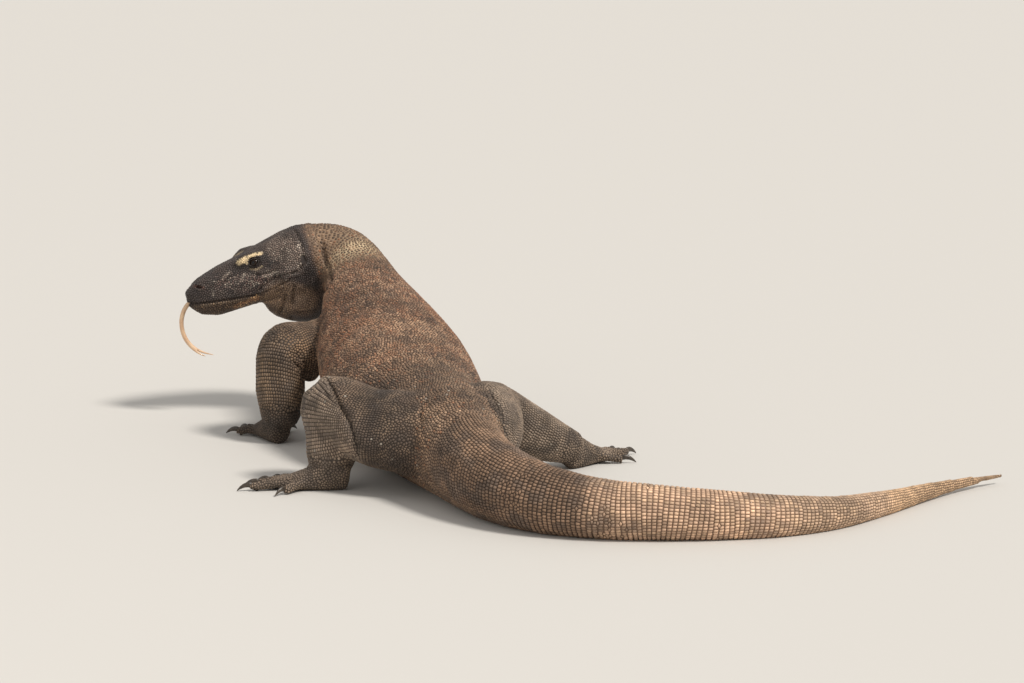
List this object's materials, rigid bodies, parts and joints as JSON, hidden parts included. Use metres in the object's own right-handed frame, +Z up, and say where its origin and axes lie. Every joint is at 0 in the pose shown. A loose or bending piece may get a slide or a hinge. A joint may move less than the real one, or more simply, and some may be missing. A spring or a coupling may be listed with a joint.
{
  "type": "komodo dragon",
  "caption": "Large monitor lizard resting on its belly, chest propped on bent forelegs, head turned aside, forked tongue out and tail swept round to one side.",
  "frame": {"origin": "the floor under the middle of the bounding box of the whole animal", "axes": "+Z up from the floor; +X to the right of the view across the left flank from behind, along the sweep of the tail; +Y ahead along the trunk, away from the hips"},
  "size_m": [1.4182, 1.1764, 0.3439],
  "materials": {
    "skin": "dry beaded scales, grey-brown with rust on the flanks",
    "head_skin": "fine dark scales with pale speckles",
    "eye": "wet, dark brown",
    "eardrum": "thin taut membrane",
    "tongue": "moist, pinkish cream",
    "claw": "dark polished horn"
  },
  "bodies": {
    "root": {"head": "head_skin", "lower_jaw": "head_skin", "neck": "skin", "trunk": "skin", "hips": "skin", "tail_base": "skin", "tail_middle": "skin", "tail_end": "skin", "tail_tip": "skin", "left_upper_arm": "skin", "left_forearm": "skin", "left_fore_foot": "skin", "left_thigh": "skin", "left_shin": "skin", "left_hind_foot": "skin", "left_eye": "eye", "left_eardrum": "eardrum", "left_fore_claw_1": "claw", "left_fore_claw_2": "claw", "left_fore_claw_3": "claw", "left_fore_claw_4": "claw", "left_fore_claw_5": "claw", "left_hind_claw_1": "claw", "left_hind_claw_2": "claw", "left_hind_claw_3": "claw", "left_hind_claw_4": "claw", "left_hind_claw_5": "claw", "right_upper_arm": "skin", "right_forearm": "skin", "right_fore_foot": "skin", "right_thigh": "skin", "right_shin": "skin", "right_hind_foot": "skin", "right_eye": "eye", "right_eardrum": "eardrum", "right_fore_claw_1": "claw", "right_fore_claw_2": "claw", "right_fore_claw_3": "claw", "right_fore_claw_4": "claw", "right_fore_claw_5": "claw", "right_hind_claw_1": "claw", "right_hind_claw_2": "claw", "right_hind_claw_3": "claw", "right_hind_claw_4": "claw", "right_hind_claw_5": "claw", "tongue": "tongue"}
  },
  "joints": []
}
